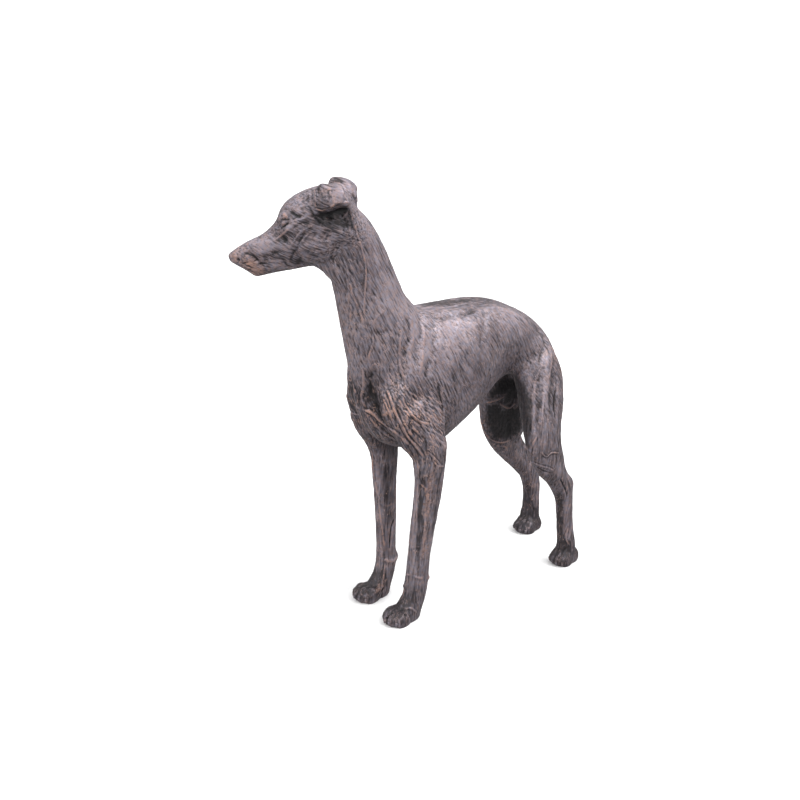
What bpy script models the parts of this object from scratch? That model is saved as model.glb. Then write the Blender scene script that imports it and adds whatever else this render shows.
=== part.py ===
"""Standing greyhound statue, cast in one piece. Metres, +Z up, the dog faces -Y and its left side is +X.

The figure is built as a sculptor builds it. Clay tubes make the trunk, neck, head, limbs and tail, and
egg-shaped masses make the muscles. They are fused into one skin, smoothed, carved, thinned to facets and
cut flat under the four paws.
"""

import math

import bmesh
import bpy
import numpy as np
from mathutils import Euler, Matrix, Vector

# The one driving size: floor to the top of the ears.
HEIGHT = 0.300

# Every length below is a share of the height. One unit is a three-hundredth of it, 1 mm at this size.
UNIT = HEIGHT / 300.0

TUBE_SIDES = 32
STEPS_BETWEEN_STATIONS = 6
CLAY_VOXEL = 1.3
SKIN_TRIANGLES = 9300
BLEND_PASSES = 6
TRUNK_PASSES = 26

# The head looks to the dog's right and a little down. Its own frame has u to the nose, v to its left, w up.
HEAD_ORIGIN = (-1.0, -116.0, 267.0)
HEAD_TURN = math.radians(49)
HEAD_DIP = math.radians(21)


def head_frame():
    """Matrix from the head's frame to the statue's, in units."""
    cos_dip = math.cos(HEAD_DIP)
    nose = Vector((-math.sin(HEAD_TURN) * cos_dip, -math.cos(HEAD_TURN) * cos_dip, -math.sin(HEAD_DIP)))
    left = Vector((math.cos(HEAD_TURN), -math.sin(HEAD_TURN), 0.0))
    crown = nose.cross(left)
    turn = Matrix((nose, left, crown)).transposed().to_4x4()
    return Matrix.Translation(HEAD_ORIGIN) @ turn


HEAD = head_frame()
BODY = Matrix.Identity(4)


def resample(stations, steps=STEPS_BETWEEN_STATIONS):
    """Stations joined by smooth Hermite curves, each column of numbers in the same way."""
    rows = np.array(stations, float)
    gaps = np.maximum(np.linalg.norm(np.diff(rows[:, :3], axis=0), axis=1), 1e-6)
    along = np.concatenate([[0.0], np.cumsum(gaps)])
    slopes = np.gradient(rows, along, axis=0)
    out = []
    for i, gap in enumerate(gaps):
        for t in np.arange(steps) / steps:
            t2, t3 = t * t, t * t * t
            out.append(
                (2 * t3 - 3 * t2 + 1) * rows[i]
                + (t3 - 2 * t2 + t) * gap * slopes[i]
                + (3 * t2 - 2 * t3) * rows[i + 1]
                + (t3 - t2) * gap * slopes[i + 1]
            )
    out.append(rows[-1])
    return np.array(out)


class Clay:
    """Closed shells that overlap, gathered before they are fused."""

    def __init__(self):
        self.points = []
        self.faces = []

    def add(self, points, faces, frame):
        base = len(self.points)
        self.points += [frame @ Vector(p) for p in points]
        self.faces += [tuple(base + i for i in face) for face in faces]

    def tube(self, stations, frame=BODY, across=(1, 0, 0), rise=None):
        """A tube through stations of (x, y, z, half width, half depth, flare).

        The width lies along across and the depth square to it, or along rise, where the rings stay upright.
        A positive flare widens the ring towards +depth."""
        rows = resample([(*s, 0.0) if len(s) == 5 else s for s in stations])
        tangents = np.gradient(rows[:, :3], axis=0)
        points, faces = [], []
        for row, tangent in zip(rows, tangents):
            ahead = Vector(tangent).normalized()
            width = (Vector(across) - Vector(across).dot(ahead) * ahead).normalized()
            depth = ahead.cross(width)
            if rise:
                width, depth = Vector(across), Vector(rise)
            for k in range(TUBE_SIDES):
                turn = 2 * math.pi * k / TUBE_SIDES
                wide = row[3] * math.cos(turn) * (1 + row[5] * math.sin(turn))
                points.append(Vector(row[:3]) + width * wide + depth * row[4] * math.sin(turn))
        count = len(rows)
        for ring in range(count - 1):
            for k in range(TUBE_SIDES):
                a, b = ring * TUBE_SIDES + k, ring * TUBE_SIDES + (k + 1) % TUBE_SIDES
                faces.append((a, b, b + TUBE_SIDES, a + TUBE_SIDES))
        faces.append(tuple(reversed(range(TUBE_SIDES))))
        faces.append(tuple(range((count - 1) * TUBE_SIDES, count * TUBE_SIDES)))
        self.add(points, faces, frame)

    def mass(self, centre, radii, tilt=(0, 0, 0), frame=BODY):
        """An egg-shaped lump, tilted by degrees about x, y and z."""
        ball = bmesh.new()
        bmesh.ops.create_uvsphere(ball, u_segments=24, v_segments=16, radius=1.0)
        turn = Euler([math.radians(a) for a in tilt]).to_matrix()
        size = Matrix.Diagonal(radii)
        points = [Vector(centre) + turn @ size @ v.co for v in ball.verts]
        faces = [tuple(v.index for v in f.verts) for f in ball.faces]
        ball.free()
        self.add(points, faces, frame)


def both(side_function, clay):
    """The same form on the dog's left, then on its right."""
    for side in (1, -1):
        side_function(clay, side)


def trunk(clay):
    """Deep chest, arched loin, tucked belly and sloping croup, from rump to breast."""
    # y, top, belly, half width, flare
    sections = [
        (81.5, 142, 127, 4, 0.0),
        (76, 153, 122, 8.5, 0.0),
        (68, 165.5, 121, 13, 0.0),
        (56, 178, 129, 16, 0.0),
        (44, 187, 138, 18, 0.1),
        (30, 194.5, 144.5, 20.5, 0.25),
        (12, 202, 139.5, 23.5, 0.2),
        (-6, 205.8, 127, 26, 0.15),
        (-22, 207, 118.5, 27.5, 0.12),
        (-38, 207.5, 111.3, 28, 0.1),
        (-56, 207.5, 111.5, 26.5, 0.1),
        (-72, 204, 116, 24, 0.05),
        (-84, 198, 123, 20, 0.0),
        (-93, 189, 133, 15, 0.0),
        (-99, 177, 148, 8, 0.0),
    ]
    rings = [(0, y, (top + low) / 2, wide, (top - low) / 2, flare) for y, top, low, wide, flare in sections]
    clay.tube(rings, rise=(0, 0, 1))


def neck(clay):
    """Long upright neck, deeper than it is wide, growing out of the shoulders."""
    clay.tube(
        [
            (0, -65, 166, 20, 38),
            (0, -78.2, 190, 21, 30.5),
            (0, -88, 210, 18.5, 24.3),
            (0, -95, 230, 16.5, 21.5),
            (0, -101.5, 247, 15, 19.7),
            (-0.5, -109, 262, 14.5, 17.5),
            (-1, -115, 272, 13, 14),
        ]
    )


def skull(clay):
    """Long wedge of a head with a shallow stop, in the head's own frame."""
    # u, crown, jaw, half width, flare
    sections = [
        (-15, 14, -4, 7, 0.0),
        (-10, 22, -12, 12.5, 0.0),
        (0, 27.4, -15, 15.3, 0.1),
        (10, 27.9, -16, 15.8, 0.12),
        (18, 26.8, -16.6, 14.8, 0.1),
        (24, 24.8, -16.6, 13.2, 0.08),
        (28.5, 21.6, -16, 11.4, 0.05),
        (32, 17.4, -15.6, 10.3, 0.1),
        (36, 14.9, -15.1, 9.5, 0.15),
        (44, 11.9, -13.7, 8.8, 0.15),
        (52, 11.0, -12.8, 8.1, 0.15),
        (59, 10.0, -9.6, 7.1, 0.15),
        (65, 8.5, -3, 5.5, 0.1),
        (69.2, 6.4, 1.2, 3.2, 0.0),
    ]
    rings = [(u, 0, (crown + jaw) / 2, wide, (crown - jaw) / 2, flare) for u, crown, jaw, wide, flare in sections]
    clay.tube(rings, frame=HEAD, across=(0, 1, 0), rise=(0, 0, 1))
    clay.mass((67, 0, 4.6), (3.5, 4.3, 3.7), frame=HEAD)
    clay.mass((54, 0, -8.2), (6.5, 5.4, 4), tilt=(0, 14, 0), frame=HEAD)
    throat = [(22, 0, -7, 7, 7.5), (12, 0, -14, 9.5, 9), (8, -3, -23, 11, 9), (6, -7, -34, 10, 8.5), (6, -11, -48, 8, 7)]
    clay.tube(throat, frame=HEAD, across=(0, 1, 0))


def face_side(clay, side):
    """Cheek, cheekbone, brow and eyeball."""
    clay.mass((13.5, side * 9.5, -3), (13, 6.5, 12), frame=HEAD)
    clay.mass((21, side * 11, 11), (12, 4, 3.6), tilt=(0, 12, side * -16), frame=HEAD)
    clay.mass((25.5, side * 9.2, 18.2), (5.5, 3, 2.6), tilt=(0, 26, side * -20), frame=HEAD)
    clay.mass((26.5, side * 9.8, 14.6), (3, 2.3, 2.5), frame=HEAD)


# The soft ears rise from the skull, roll outwards and hang over their own hollows. The left one lies flat and
# the right one is rolled up tighter. u, v, w, half width along the head, half thickness.
EAR_LEFT = [
    (-8, 7, 15, 7, 3),
    (-8, 10, 22.5, 8.5, 2.8),
    (-8, 13.5, 25.2, 9.6, 2.5),
    (-8, 17, 23.6, 10, 2.2),
    (-8, 19.3, 19, 9.8, 2.0),
    (-7.8, 19.8, 14.8, 8, 1.6),
]
EAR_RIGHT = [
    (-9, 7, 14, 7, 3),
    (-9, 10, 22, 7.6, 3.0),
    (-9.4, 13.5, 24.0, 6.8, 3.0),
    (-10.2, 17, 21.4, 6.8, 2.8),
    (-10.8, 19, 16.6, 7.2, 2.4),
    (-11, 19.4, 12.4, 6.4, 1.8),
]


def ears(clay):
    for side, fold, lean in ((1, EAR_LEFT, 0.18), (-1, EAR_RIGHT, 0.6)):
        rings = [(u, side * v, w, wide, thick) for u, v, w, wide, thick in fold]
        clay.tube(rings, frame=HEAD, across=(1, 0, lean))
        clay.mass((-13, side * 12, 13), (4.5, 4.5, 8), frame=HEAD)


def shoulder(clay, side):
    """Shoulder blade, point of shoulder and upper arm."""
    clay.mass((side * 15, -66, 180), (8.5, 14, 30), tilt=(-26, side * -12, 0))
    clay.mass((side * 17, -83, 153), (9, 12, 17), tilt=(-12, 0, 0))
    clay.mass((side * 22, -66, 136), (9, 18, 20), tilt=(20, 0, 0))
    clay.mass((side * 25.5, -54.5, 108), (5, 5, 7), tilt=(-10, 0, 0))


def breast(clay):
    """The fuller right side of the breast, where the throat's cords run in."""
    clay.mass((-11, -93, 163), (7.3, 7.3, 18))


# Each leg's stations run downwards as x, y, z, half width, half depth. x is to the outer side.
FORELEG_LEFT = [
    (19, -78, 150, 10, 17),
    (22, -72.3, 134, 10.5, 15.2),
    (24.5, -62.5, 120, 9.5, 14),
    (24.5, -62, 109, 8.8, 12.2),
    (24, -61.5, 99, 8.2, 11.0),
    (23.5, -62.5, 86, 7.8, 10.2),
    (22.5, -65.6, 65, 7.2, 9.2),
    (21.6, -68, 45, 6.9, 8.3),
    (21.2, -69.3, 31, 7.1, 8.2),
    (20.8, -70.2, 22, 7.3, 8.4),
    (20.4, -72, 14, 7.2, 8.4),
    (20, -76, 7, 7.6, 9.6),
]
FORELEG_RIGHT = [
    (19, -76, 150, 10, 17),
    (22, -70, 134, 10.5, 17.5),
    (24, -63, 120, 9.8, 15),
    (24.5, -60, 109, 8.6, 12),
    (24, -59, 99, 7.8, 10.4),
    (23.5, -59.5, 86, 7.2, 9.3),
    (22, -60, 65, 6.6, 8.3),
    (21, -60.5, 45, 6.2, 7.6),
    (20.5, -61, 31, 6.2, 7.3),
    (20, -62, 20, 6.8, 7.6),
    (20, -64.5, 13, 6.8, 7.8),
    (20, -68, 7, 7.4, 9),
]
HINDLEG_LEFT = [
    (6, 47, 176, 5, 8),
    (11, 46.5, 164, 9.5, 13.5),
    (17, 45.2, 146, 12.5, 20.3),
    (20.2, 45, 136, 12.4, 19.6),
    (23, 43.5, 126, 12.0, 19.6),
    (28.2, 39.9, 109, 10.2, 16.6),
    (31.3, 39.9, 96, 8.6, 14.7),
    (32.5, 44.1, 84, 7.6, 12.5),
    (32.5, 51.6, 72, 6.6, 9.0),
    (32, 58, 62, 6.2, 8.4),
    (31, 62, 52, 5.8, 7.3),
    (30.5, 63.5, 40, 5.6, 6.6),
    (30, 65.5, 26, 5.8, 6.5),
    (29.7, 67.5, 14, 6.6, 7.2),
    (29.5, 67, 6, 7.0, 8.0),
]
HINDLEG_RIGHT = [
    (6, 48, 176, 5, 8),
    (11, 49, 164, 9.5, 14),
    (17, 50, 146, 12.5, 22),
    (22, 51.5, 126, 12.5, 22.5),
    (26.5, 52, 108, 10.5, 17.5),
    (29, 54, 94, 8.5, 14),
    (30, 59.6, 81, 7.6, 11.2),
    (30, 68.5, 69, 6.6, 8.8),
    (30, 79, 58, 6.2, 8.0),
    (29.6, 88, 48.5, 6.0, 8.4),
    (29.3, 91.3, 38, 5.9, 7.8),
    (29.2, 92, 27, 6.0, 6.9),
    (29.2, 91.5, 14, 6.6, 7.4),
    (29.2, 90, 6, 7.0, 8.0),
]
FOREPAW_LEFT = (19.8, -81)
FOREPAW_RIGHT = (-20.0, -74)
HINDPAW_LEFT = (29.4, 67.6)
HINDPAW_RIGHT = (-27.6, 88.5)
WRIST_KNOBS = [(20, -61, 25), (-17.8, -55.7, 26)]
HOCK_CORD_LEFT = [
    (27, 53, 97, 3.5, 4.5),
    (30.5, 55.5, 83, 2.4, 2.8),
    (31.6, 60.5, 71, 2.6, 2.8),
    (31.6, 66.5, 63, 3.0, 3.6),
    (31.2, 65.5, 53, 3.0, 3.4),
]
HOCK_CORD_RIGHT = [
    (26, 68, 92, 3.5, 4.5),
    (28.5, 76, 77, 2.4, 2.8),
    (29.4, 85, 65, 2.6, 2.8),
    (29.8, 92.3, 55, 3.0, 3.4),
    (29.6, 94.2, 46, 3.0, 3.4),
]


HAMSTRING_LEFT = [
    (8, 58, 152, 9, 9.5),
    (11.5, 59.5, 134, 9.5, 11),
    (15, 57.5, 114, 8.6, 10),
    (20, 54.5, 97, 7, 8),
    (26.5, 54.5, 82, 5, 6.5),
]
HAMSTRING_RIGHT = [
    (8, 60, 152, 9, 9.5),
    (11.5, 63, 134, 9.5, 11.5),
    (15, 64, 114, 8.8, 10.5),
    (20.5, 65, 97, 7, 8.5),
    (26, 68, 82, 5, 7),
]


def limb(clay, stations, side):
    clay.tube([(side * x, y, z, wide, deep) for x, y, z, wide, deep in stations])


def paw(clay, place, length, width):
    """Four arched toes round a heel pad."""
    x, y = place
    clay.mass((x, y + 0.16 * length, 3.6), (0.44 * width, 0.37 * length, 8))
    for offset, reach, lift in ((-0.36, 0.16, 0), (-0.13, 0.28, 0.8), (0.13, 0.28, 0.8), (0.36, 0.16, 0)):
        toe = (x + offset * width, y - reach * length, 3.4 + lift)
        clay.mass(toe, (0.185 * width, 0.27 * length, 6.2), tilt=(14, 0, offset * 30))


def legs(clay):
    for side in (1, -1):
        clay.mass((side * 12.5, 39, 163.5), (9.5, 18, 12.5), tilt=(-28, 0, 0))
    limb(clay, FORELEG_LEFT, 1)
    limb(clay, FORELEG_RIGHT, -1)
    limb(clay, HINDLEG_LEFT, 1)
    limb(clay, HAMSTRING_LEFT, 1)
    limb(clay, HAMSTRING_RIGHT, -1)
    limb(clay, HINDLEG_RIGHT, -1)
    for place in (FOREPAW_LEFT, FOREPAW_RIGHT):
        paw(clay, place, 27, 18)
    for place in (HINDPAW_LEFT, HINDPAW_RIGHT):
        paw(clay, place, 23, 16)
    limb(clay, HOCK_CORD_LEFT, 1)
    limb(clay, HOCK_CORD_RIGHT, -1)
    for knob in WRIST_KNOBS:
        clay.mass(knob, (3.2, 3.4, 4.2))


def tail(clay):
    """Thin tail, carried low and close between the thighs."""
    clay.tube(
        [
            (0, 59, 160, 7, 7),
            (0, 70, 151.5, 6, 6),
            (0, 77, 139, 5.2, 5.2),
            (0, 80.5, 122, 4.6, 4.6),
            (0, 80.5, 104, 4.0, 4.0),
            (0, 77, 90, 3.4, 3.4),
            (0, 72.5, 80, 2.6, 2.6),
        ]
    )


def fuse(clay):
    """One closed skin over all the clay, with its creases softened."""
    mesh = bpy.data.meshes.new("greyhound")
    mesh.from_pydata([p * UNIT for p in clay.points], [], clay.faces)
    statue = bpy.data.objects.new("greyhound", mesh)
    bpy.context.scene.collection.objects.link(statue)
    remesh = statue.modifiers.new("fuse", "REMESH")
    remesh.mode = "VOXEL"
    remesh.voxel_size = CLAY_VOXEL * UNIT
    apply_modifiers(statue)
    return statue


def ease(value, start, end):
    """0 before start, 1 after end and a smooth step between them."""
    t = min(max((value - start) / (end - start), 0.0), 1.0)
    return t * t * (3 - 2 * t)


def blend(statue):
    """Softens the creases between the masses, most of all on the trunk."""
    trunk_skin = statue.vertex_groups.new(name="trunk")
    for vertex in statue.data.vertices:
        height = vertex.co.z / UNIT
        weight = ease(height, 88, 122) * (1 - ease(height, 222, 242))
        trunk_skin.add([vertex.index], weight, "REPLACE")
    soften = statue.modifiers.new("soften", "SMOOTH")
    soften.factor = 0.5
    soften.iterations = BLEND_PASSES
    merge = statue.modifiers.new("merge", "SMOOTH")
    merge.factor = 0.5
    merge.iterations = TRUNK_PASSES
    merge.vertex_group = "trunk"
    apply_modifiers(statue)


def apply_modifiers(statue):
    graph = bpy.context.evaluated_depsgraph_get()
    mesh = bpy.data.meshes.new_from_object(statue.evaluated_get(graph))
    statue.modifiers.clear()
    statue.data = mesh


class Skin:
    """The skin's points and outward directions, while it is being carved."""

    def __init__(self, statue):
        self.mesh = statue.data
        count = len(self.mesh.vertices)
        self.points = np.empty(count * 3, np.float32)
        self.mesh.vertices.foreach_get("co", self.points)
        self.points = self.points.reshape(-1, 3).astype(float) / UNIT
        self.outward = np.empty(count * 3, np.float32)
        self.mesh.vertices.foreach_get("normal", self.outward)
        self.outward = self.outward.reshape(-1, 3).astype(float)
        self.lift = np.zeros(count)

    def stroke(self, path, width, height, frame=BODY):
        """A rounded ridge along a path of points, or a groove where the height is negative."""
        line = np.array([frame @ Vector(p) for p in resample(path, 4)])
        gap = np.full(len(self.points), 1e9)
        place = np.zeros(len(self.points))
        for i in range(len(line) - 1):
            step = line[i + 1] - line[i]
            t = np.clip((self.points - line[i]) @ step / max(step @ step, 1e-9), 0, 1)
            off = np.linalg.norm(self.points - line[i] - t[:, None] * step, axis=1)
            near = off < gap
            gap[near] = off[near]
            place[near] = (i + t[near]) / (len(line) - 1)
        taper = np.sqrt(np.clip(np.sin(math.pi * np.clip(place, 0.04, 0.96)), 0, 1))
        self.lift += height * taper * np.exp(-((gap / width) ** 2))

    def dent(self, place, radius, height, frame=BODY):
        """A round bump, or a hollow where the height is negative."""
        gap = np.linalg.norm(self.points - np.array(frame @ Vector(place)), axis=1)
        self.lift += height * np.exp(-((gap / radius) ** 2))

    def finish(self):
        moved = (self.points + self.outward * self.lift[:, None]) * UNIT
        self.mesh.vertices.foreach_set("co", moved.astype(np.float32).ravel())
        self.mesh.update()


def carve_side(skin, side):
    """Muscle divisions on one side of the body."""
    skin.stroke([(side * 7, -46, 206), (side * 8, -14, 205), (side * 7, 16, 199), (side * 6, 40, 186)], 4.5, -0.8)
    skin.stroke([(side * 14, -44, 201), (side * 26, -38, 180), (side * 29, -34, 156), (side * 27, -36, 132)], 5.5, -1.6)
    skin.stroke([(side * 9, -64, 208), (side * 20, -82, 186), (side * 22, -97, 166)], 4.5, -1.4)
    skin.stroke([(side * 12, -100, 168), (side * 14, -99, 150), (side * 15, -88, 128)], 4, -1.6)
    skin.stroke([(side * 26, -84, 150), (side * 31, -64, 148), (side * 31, -48, 140)], 3, -1.0)
    skin.stroke([(side * 16, 50, 168), (side * 30, 46, 140), (side * 38, 42, 114)], 3.5, -1.2)
    skin.stroke([(side * 21, 60, 140), (side * 28, 56, 118), (side * 34, 52, 98)], 3, -1.0)
    skin.dent((side * 24, 12, 158), 13, -2.2)


def carve_legs(skin):
    """Tendon grooves on the limbs and the hollows in front of the hock cords."""
    skin.stroke([(32, -63, 100), (30.5, -67, 70), (28.5, -71, 34)], 2, -0.7)
    skin.stroke([(-32, -60, 100), (-30.5, -61, 70), (-28, -62, 34)], 2, -0.7)
    skin.stroke([(38, 51, 82), (38, 58, 70), (37, 62, 60)], 2.4, -1.3)
    skin.stroke([(26, 51, 82), (26, 58, 70), (25, 62, 60)], 2.4, -1.3)
    skin.stroke([(-36, 64, 80), (-36, 75, 68), (-36, 84, 56)], 2.4, -1.2)
    skin.stroke([(-24, 64, 80), (-24, 75, 68), (-24, 84, 56)], 2.4, -1.2)


def carve_face(skin, side):
    """Brow crease, eye socket, cheek fold, mouth, nostril and the hollow under the ear."""
    skin.stroke([(25, side * 12, 19), (20, side * 14, 17), (15, side * 15, 13.8)], 1.5, -1.0, HEAD)
    skin.dent((29.5, side * 9, 14), 2, -0.8, HEAD)
    skin.stroke([(34, side * 9, 7.5), (29, side * 10.5, 7), (23, side * 12.5, 6)], 2.4, -1.2, HEAD)
    skin.stroke([(23.5, side * 13.5, 3), (27, side * 12, -2), (31, side * 11, -7), (33.5, side * 9, -11)], 1.5, -1.0, HEAD)
    skin.stroke([(67, side * 3, 0.6), (60, side * 6, -0.5), (52, side * 8, -3.5), (44, side * 8.8, -6), (34, side * 9.8, -8.5)],
                1.1, -0.9, HEAD)
    skin.stroke([(60, side * 6, 7.5), (55, side * 8, 4.5), (51.5, side * 8.5, -1), (49.5, side * 8, -7)], 1.1, -0.7, HEAD)
    skin.dent((69, side * 3, 4.6), 1.4, -1.2, HEAD)
    skin.stroke([(5, side * 15, 12), (-2, side * 16.5, 9), (-9, side * 16, 8), (-15, side * 13, 9)], 3.6, -3.2, HEAD)


def carve(statue):
    skin = Skin(statue)
    for side in (1, -1):
        carve_side(skin, side)
        carve_face(skin, side)
    carve_legs(skin)
    skin.finish()


def thin(statue):
    """Fewer facets, kept where the form turns fastest."""
    statue.data.calc_loop_triangles()
    thinning = statue.modifiers.new("thin", "DECIMATE")
    thinning.ratio = SKIN_TRIANGLES / len(statue.data.loop_triangles)
    apply_modifiers(statue)


def cut_soles(statue):
    """Cuts the paws off flat at the floor and closes the cuts."""
    skin = bmesh.new()
    skin.from_mesh(statue.data)
    cut = bmesh.ops.bisect_plane(
        skin, geom=skin.verts[:] + skin.edges[:] + skin.faces[:], plane_co=(0, 0, 0), plane_no=(0, 0, 1),
        clear_inner=True,
    )
    rim = [e for e in cut["geom_cut"] if isinstance(e, bmesh.types.BMEdge)]
    bmesh.ops.holes_fill(skin, edges=rim, sides=0)
    bmesh.ops.recalc_face_normals(skin, faces=skin.faces)
    skin.to_mesh(statue.data)
    skin.free()


def stand(statue):
    """Scales the cast to its exact height, with the origin on the floor under the middle of its box."""
    points = np.array([v.co for v in statue.data.vertices])
    statue.data.transform(Matrix.Scale(HEIGHT / points[:, 2].max(), 4))
    points = np.array([v.co for v in statue.data.vertices])
    middle = (points.min(axis=0) + points.max(axis=0)) / 2
    statue.data.transform(Matrix.Translation((-middle[0], -middle[1], 0)))


def bronze():
    material = bpy.data.materials.new("bronze_finish")
    material.use_nodes = True
    shader = material.node_tree.nodes["Principled BSDF"]
    shader.inputs["Base Color"].default_value = (0.085, 0.068, 0.070, 1)
    shader.inputs["Metallic"].default_value = 0.35
    shader.inputs["Roughness"].default_value = 0.45
    return material


def main():
    for old in list(bpy.data.objects):
        bpy.data.objects.remove(old)
    clay = Clay()
    trunk(clay)
    neck(clay)
    skull(clay)
    both(face_side, clay)
    ears(clay)
    both(shoulder, clay)
    breast(clay)
    legs(clay)
    tail(clay)
    statue = fuse(clay)
    blend(statue)
    carve(statue)
    thin(statue)
    cut_soles(statue)
    stand(statue)
    statue.data.materials.append(bronze())


main()
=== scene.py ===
"""Greyhound statue as it looks: the cast with its combed coat, face, muscles and paws, in rubbed bronze."""

import math
from functools import partial

import bpy
import numpy as np
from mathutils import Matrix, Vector
from mathutils.bvhtree import BVHTree
from mathutils.kdtree import KDTree


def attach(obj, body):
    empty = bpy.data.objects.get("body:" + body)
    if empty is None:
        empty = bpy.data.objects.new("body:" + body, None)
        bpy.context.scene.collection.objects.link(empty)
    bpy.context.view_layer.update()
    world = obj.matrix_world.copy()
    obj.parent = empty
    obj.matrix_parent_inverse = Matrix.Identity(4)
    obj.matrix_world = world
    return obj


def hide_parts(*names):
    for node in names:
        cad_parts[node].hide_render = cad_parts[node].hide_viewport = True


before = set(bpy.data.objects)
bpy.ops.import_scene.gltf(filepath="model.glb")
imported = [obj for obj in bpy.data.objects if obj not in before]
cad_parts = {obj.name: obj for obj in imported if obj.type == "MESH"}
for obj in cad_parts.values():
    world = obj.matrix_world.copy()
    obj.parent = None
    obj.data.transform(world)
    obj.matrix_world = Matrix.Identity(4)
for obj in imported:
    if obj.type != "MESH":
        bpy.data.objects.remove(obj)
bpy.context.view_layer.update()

# Lengths below are millimetres in the row frame, unless a line says otherwise.
MM = 0.001
CLAY_GRID = 0.5
SMOOTHING_PASSES = 44
TRIANGLES = 197000
CELL = 3.0
THINNEST = 0.6
# The furthest step on the skin between neighbours of a line through the photo.
LONGEST_JUMP = 9.0
# The soles are the skin below this height that faces down by this much.
SOLE_HEIGHT = 0.35
SOLE_FACING = -0.6
COAT_STROKES = 11000
# Lattice of the random swellings, and where in it the statue stands.
LATTICE = 48
LATTICE_START = 400.0
# Smoothing passes that tell fine and middling relief.
FINE_PASSES = 6
MIDDLE_PASSES = 60
# Rays that look for open surroundings.
RAYS = 56
RAY_START = 0.8
RAY_REACH = 70.0

# The sculptor's own frame: the statue's middle line is x = 0 there and its feet stand at z = 0.
SCULPT_SCALE = 1.01283
SCULPT_ORIGIN = np.array([6.28, 31.09, 0.0])

# The photo's camera. A sight is a place in the photo, in its own points, 800 to a side.
CAMERA_SPOT = np.array([664.0, -607.7, 448.7])
CAMERA_AIM = np.array([13.55, -42.28, 151.9])
PHOTO_SIDE = 800.0
FOCAL_POINTS = 1400.0
SENSOR_WIDTH = 36.0

HEAD_SPOT = np.array([-1.0, -116.0, 267.0])
HEAD_TURN = math.radians(49)
HEAD_DIP = math.radians(21)

rng = np.random.default_rng(7)


def unit(v):
    v = np.asarray(v, float)
    return v / np.maximum(np.linalg.norm(v, axis=-1, keepdims=True), 1e-9)


def ease(value, start, end):
    """0 before start, 1 after end and a smooth step between them."""
    t = np.clip((np.asarray(value, float) - start) / (end - start), 0, 1)
    return t * t * (3 - 2 * t)


LOOK = unit(CAMERA_AIM - CAMERA_SPOT)
LOOK_RIGHT = unit(np.cross(LOOK, (0, 0, 1)))
LOOK_UP = np.cross(LOOK_RIGHT, LOOK)

NOSE_WAY = np.array([
    -math.sin(HEAD_TURN) * math.cos(HEAD_DIP), -math.cos(HEAD_TURN) * math.cos(HEAD_DIP), -math.sin(HEAD_DIP)
])
LEFT_WAY = np.array([math.cos(HEAD_TURN), -math.sin(HEAD_TURN), 0.0])
CROWN_WAY = np.cross(NOSE_WAY, LEFT_WAY)
HEAD_COAT = -NOSE_WAY - 0.9 * CROWN_WAY
HEAD_AXES = np.array([NOSE_WAY, LEFT_WAY, CROWN_WAY])


def band(value, rise_start, rise_end, fall_start, fall_end):
    """1 between the rise and the fall, 0 outside them."""
    return ease(value, rise_start, rise_end) * (1 - ease(value, fall_start, fall_end))


def to_sculpt(points):
    return (np.asarray(points, float) - SCULPT_ORIGIN) / SCULPT_SCALE


def from_sculpt(points):
    return np.asarray(points, float) * SCULPT_SCALE + SCULPT_ORIGIN


def to_head(points):
    """Places along the head's own axes: to the nose, to its left and to the crown."""
    return (to_sculpt(points) - HEAD_SPOT) @ HEAD_AXES.T


def from_head(places):
    return from_sculpt(np.asarray(places, float) @ HEAD_AXES + HEAD_SPOT)


def back_and_up(points):
    """How far back and how high each point is in the sculptor's frame."""
    return to_sculpt(points)[:, 1:].T


def head_share(points):
    """1 on the head, 0 on the neck and body."""
    return ease(to_head(points)[:, 2], -17, -9) * ease(back_and_up(points)[1], 232, 244)


def curve(points, step):
    """Points joined by a smooth curve and spaced evenly, about step apart."""
    points = np.asarray(points, float)
    if len(points) < 2:
        return points
    gaps = np.linalg.norm(np.diff(points, axis=0), axis=1)
    along = np.concatenate([[0], np.cumsum(np.maximum(gaps, 1e-6))])
    slopes = np.gradient(points, along, axis=0)
    wanted = np.linspace(0, along[-1], max(2, int(math.ceil(along[-1] / step)) + 1))
    i = np.clip(np.searchsorted(along, wanted, side="right") - 1, 0, len(points) - 2)
    h = (along[i + 1] - along[i])[:, None]
    t = ((wanted - along[i])[:, None]) / h
    return (
        (2 * t**3 - 3 * t**2 + 1) * points[i]
        + (t**3 - 2 * t**2 + t) * h * slopes[i]
        + (3 * t**2 - 2 * t**3) * points[i + 1]
        + (t**3 - t**2) * h * slopes[i + 1]
    )


def lumps(points, size, seed):
    """Smooth random swellings from 0 to 1, about size across."""
    table = np.random.default_rng(seed).random((LATTICE,) * 3)
    p = np.asarray(points, float) / size + LATTICE_START
    base = np.floor(p).astype(int)
    t = p - base
    t = t * t * (3 - 2 * t)
    total = np.zeros(len(p))
    for corner in range(8):
        bits = np.array([corner & 1, corner >> 1 & 1, corner >> 2 & 1])
        cell = (base + bits) % LATTICE
        share = np.prod(np.where(bits, t, 1 - t), axis=1)
        total += share * table[cell[:, 0], cell[:, 1], cell[:, 2]]
    return total


def beside(points, line):
    """For each point and each stretch of a line: how far along it, and the way across from it."""
    a, d = line[:-1], np.diff(line, axis=0)
    t = np.einsum("nsk,sk->ns", points[:, None] - a, d) / np.maximum((d * d).sum(axis=1), 1e-9)
    t = np.clip(t, 0, 1)
    return t, points[:, None] - a - t[..., None] * d


def read(mesh, name, count, width=3):
    values = np.empty(count * width, np.float32)
    mesh.foreach_get(name, values)
    return values.reshape(-1, width).astype(float)


def bake_modifiers(obj):
    graph = bpy.context.evaluated_depsgraph_get()
    mesh = bpy.data.meshes.new_from_object(obj.evaluated_get(graph))
    obj.modifiers.clear()
    obj.data = mesh


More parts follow.
